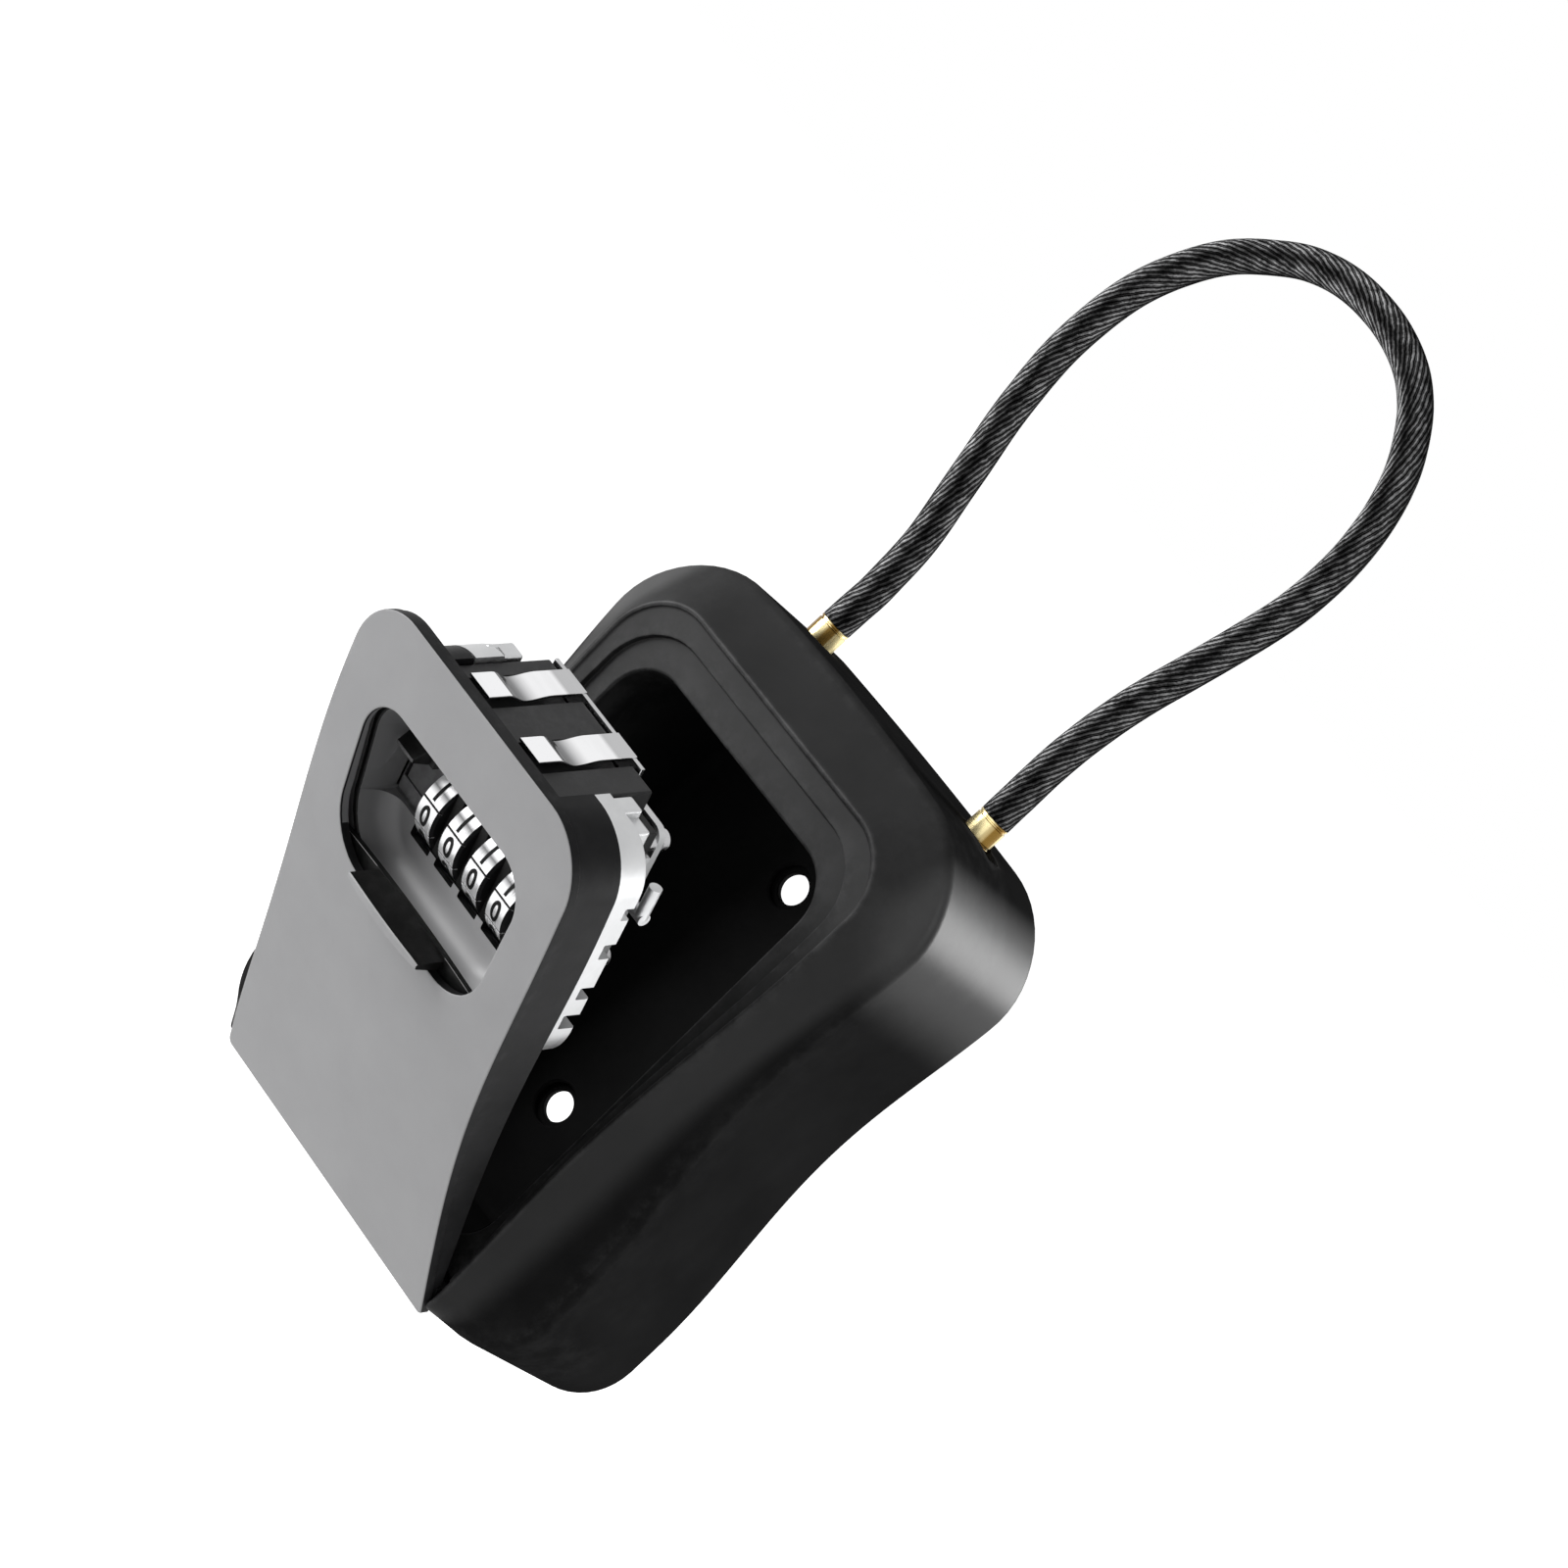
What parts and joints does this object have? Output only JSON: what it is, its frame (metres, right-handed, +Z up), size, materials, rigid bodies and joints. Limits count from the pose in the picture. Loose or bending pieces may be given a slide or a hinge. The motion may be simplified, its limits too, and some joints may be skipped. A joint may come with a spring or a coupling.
{
  "type": "portable combination key safe",
  "caption": "Waisted key safe with a drop-down coded door, a sliding weather cover, a latch inside and a coated-cable shackle; it hangs or screws to a wall.",
  "frame": {"origin": "on the flat back face, midway between the two wall-screw holes", "axes": "+X to the right seen from the front, +Z up towards the shackle, -Y out of the front; the back lies in the plane Y = 0"},
  "size_m": [0.0994, 0.1044, 0.2367],
  "materials": {
    "case_black": "fine matte powder coat",
    "door_grey": "satin metallic paint",
    "shell_black": "matte moulded",
    "dish_grey": "satin metallic paint",
    "cover_black": "fine matte moulded",
    "lock_black": "matte moulded",
    "tray_metal": "pale satin casting",
    "latch_chrome": "bright",
    "steel": "bright",
    "dial_silver": "satin silver",
    "brass": "bright",
    "cable_black": "glossy clear sheath over dark strands"
  },
  "bodies": {
    "case": {"case_shell": "case_black", "hinge_pin": "steel", "release_cover": "case_black", "release_cover_screws": "steel"},
    "shackle": {"cable": "cable_black", "ferrule_left": "brass", "ferrule_right": "brass"},
    "release": {"release_slide": "tray_metal"},
    "door": {"door_face": "door_grey", "door_shell": "shell_black", "door_pins": "steel", "dial_dish": "dish_grey", "lock_body": "lock_black", "lock_frame": "tray_metal", "lock_cover": "tray_metal", "lock_cover_screws": "steel", "detent_spring": "steel", "spindle": "steel", "key_hook": "tray_metal"},
    "shutter": {"dial_shutter": "cover_black"},
    "opener": {"opening_slide": "cover_black"},
    "latch": {"latch_plate": "latch_chrome"},
    "reset": {"reset_lever": "tray_metal"},
    "code_dial_1": {"dial_1": "dial_silver", "code_wheel_1": "brass"},
    "code_dial_2": {"dial_2": "dial_silver", "code_wheel_2": "brass"},
    "code_dial_3": {"dial_3": "dial_silver", "code_wheel_3": "brass"},
    "code_dial_4": {"dial_4": "dial_silver", "code_wheel_4": "brass"}
  },
  "joints": [
    {"name": "door_hinge", "type": "hinge", "parent": "case", "child": "door", "pos_m": [0, -0.03506, -0.0572], "axis": [1, 0, 0], "range_deg": [-31.3, 0]},
    {"name": "shackle_lift", "type": "slide", "parent": "case", "child": "shackle", "axis": [0, 0, 1], "range_m": [0, 0.0095]},
    {"name": "release_travel", "type": "slide", "parent": "case", "child": "release", "axis": [1, 0, 0], "range_m": [0, 0.0012]},
    {"name": "shutter_slide", "type": "slide", "parent": "door", "child": "shutter", "axis": [0, -0.6178, 0.7863], "range_m": [0, 0.028]},
    {"name": "opener_slide", "type": "slide", "parent": "door", "child": "opener", "axis": [0, 0.5195, -0.8545], "range_m": [0, 0.008], "stiffness_N_per_m": 150, "springref_m": -0.002},
    {"name": "latch_slide", "type": "slide", "parent": "door", "child": "latch", "axis": [0, 0.5195, -0.8545], "range_m": [0, 0.0012]},
    {"name": "dial_1_turn", "type": "hinge", "parent": "door", "child": "code_dial_1", "pos_m": [0, -0.07061, 0.00393], "axis": [1, 0, 0], "continuous": true},
    {"name": "dial_2_turn", "type": "hinge", "parent": "door", "child": "code_dial_2", "pos_m": [0, -0.07061, 0.00393], "axis": [1, 0, 0], "continuous": true},
    {"name": "dial_3_turn", "type": "hinge", "parent": "door", "child": "code_dial_3", "pos_m": [0, -0.07061, 0.00393], "axis": [1, 0, 0], "continuous": true},
    {"name": "dial_4_turn", "type": "hinge", "parent": "door", "child": "code_dial_4", "pos_m": [0, -0.07061, 0.00393], "axis": [1, 0, 0], "continuous": true},
    {"name": "reset_turn", "type": "hinge", "parent": "door", "child": "reset", "pos_m": [0.006, -0.057, 0.00811], "axis": [0, -0.8545, -0.5195], "range_deg": [0, 90]}
  ],
  "couplings": [
    {"joint": "release_travel", "follows": "shackle_lift", "ratio": 0.1263},
    {"joint": "latch_slide", "follows": "opener_slide", "ratio": 0.15}
  ]
}
